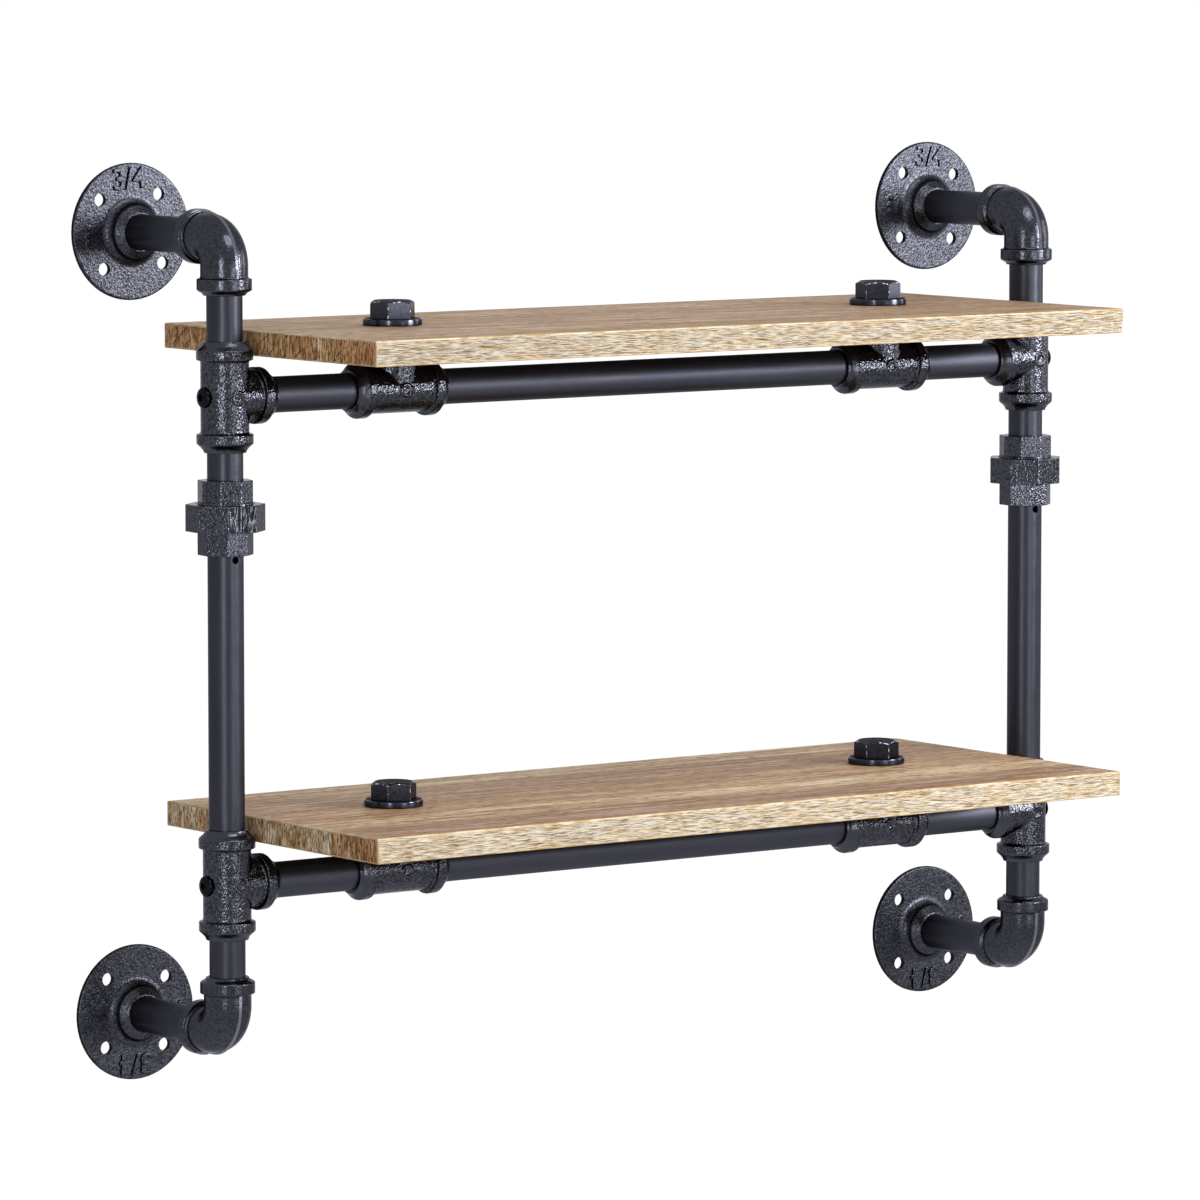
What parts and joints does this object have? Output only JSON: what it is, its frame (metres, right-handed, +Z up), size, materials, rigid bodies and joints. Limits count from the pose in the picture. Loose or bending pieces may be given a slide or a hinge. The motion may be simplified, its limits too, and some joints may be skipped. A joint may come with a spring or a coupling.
{
  "type": "pipe shelving unit",
  "caption": "Wall-hung shelving unit: wood boards clamped by hex plugs on rails of threaded black pipe, held off the wall by elbows, arms and round screw flanges.",
  "frame": {"origin": "on the wall plane, midway between the four wall flanges, whose backs lie in that plane", "axes": "+X along the shelves to the right as seen from the room, +Y into the wall, +Z up"},
  "size_m": [0.865, 0.285, 0.693],
  "materials": {
    "pipe_black": "satin gunmetal black paint over smooth drawn pipe",
    "cast_iron_black": "gunmetal black paint over pebbled sand-cast iron, worn bright on edges",
    "plug_black": "glossy black paint, worn bright on edges",
    "screw_black": "gloss black",
    "board_wood": "weathered grey-brown laminated board with pale straw front edge and brown ends"
  },
  "bodies": {
    "frame": {"left_top_wall_flange": "cast_iron_black", "left_top_arm_pipe": "pipe_black", "left_top_elbow": "cast_iron_black", "left_upper_riser_pipe": "pipe_black", "left_upper_post_tee": "cast_iron_black", "left_upper_tee_screw": "screw_black", "left_short_nipple": "pipe_black", "left_union_tail_piece": "cast_iron_black", "left_union_threaded_body": "cast_iron_black", "left_middle_pipe": "pipe_black", "left_lower_post_tee": "cast_iron_black", "left_lower_tee_screw": "screw_black", "left_lower_riser_pipe": "pipe_black", "left_bottom_wall_flange": "cast_iron_black", "left_bottom_arm_pipe": "pipe_black", "left_bottom_elbow": "cast_iron_black", "right_top_wall_flange": "cast_iron_black", "right_top_arm_pipe": "pipe_black", "right_top_elbow": "cast_iron_black", "right_upper_riser_pipe": "pipe_black", "right_upper_post_tee": "cast_iron_black", "right_upper_tee_screw": "screw_black", "right_short_nipple": "pipe_black", "right_union_tail_piece": "cast_iron_black", "right_union_threaded_body": "cast_iron_black", "right_middle_pipe": "pipe_black", "right_lower_post_tee": "cast_iron_black", "right_lower_tee_screw": "screw_black", "right_lower_riser_pipe": "pipe_black", "right_bottom_wall_flange": "cast_iron_black", "right_bottom_arm_pipe": "pipe_black", "right_bottom_elbow": "cast_iron_black", "upper_rail_middle_pipe": "pipe_black", "upper_rail_left_stub": "pipe_black", "upper_rail_left_tee": "cast_iron_black", "upper_left_plug": "plug_black", "upper_rail_right_stub": "pipe_black", "upper_rail_right_tee": "cast_iron_black", "upper_right_plug": "plug_black", "upper_shelf_board": "board_wood", "lower_rail_middle_pipe": "pipe_black", "lower_rail_left_stub": "pipe_black", "lower_rail_left_tee": "cast_iron_black", "lower_left_plug": "plug_black", "lower_rail_right_stub": "pipe_black", "lower_rail_right_tee": "cast_iron_black", "lower_right_plug": "plug_black", "lower_shelf_board": "board_wood"},
    "left_nut": {"left_union_nut": "cast_iron_black"},
    "right_nut": {"right_union_nut": "cast_iron_black"}
  },
  "joints": [
    {"name": "left_union_nut_turn", "type": "hinge", "parent": "frame", "child": "left_nut", "pos_m": [-0.381, -0.13, 0.089], "axis": [0, 0, 1], "continuous": true},
    {"name": "right_union_nut_turn", "type": "hinge", "parent": "frame", "child": "right_nut", "pos_m": [0.381, -0.13, 0.089], "axis": [0, 0, 1], "continuous": true}
  ]
}
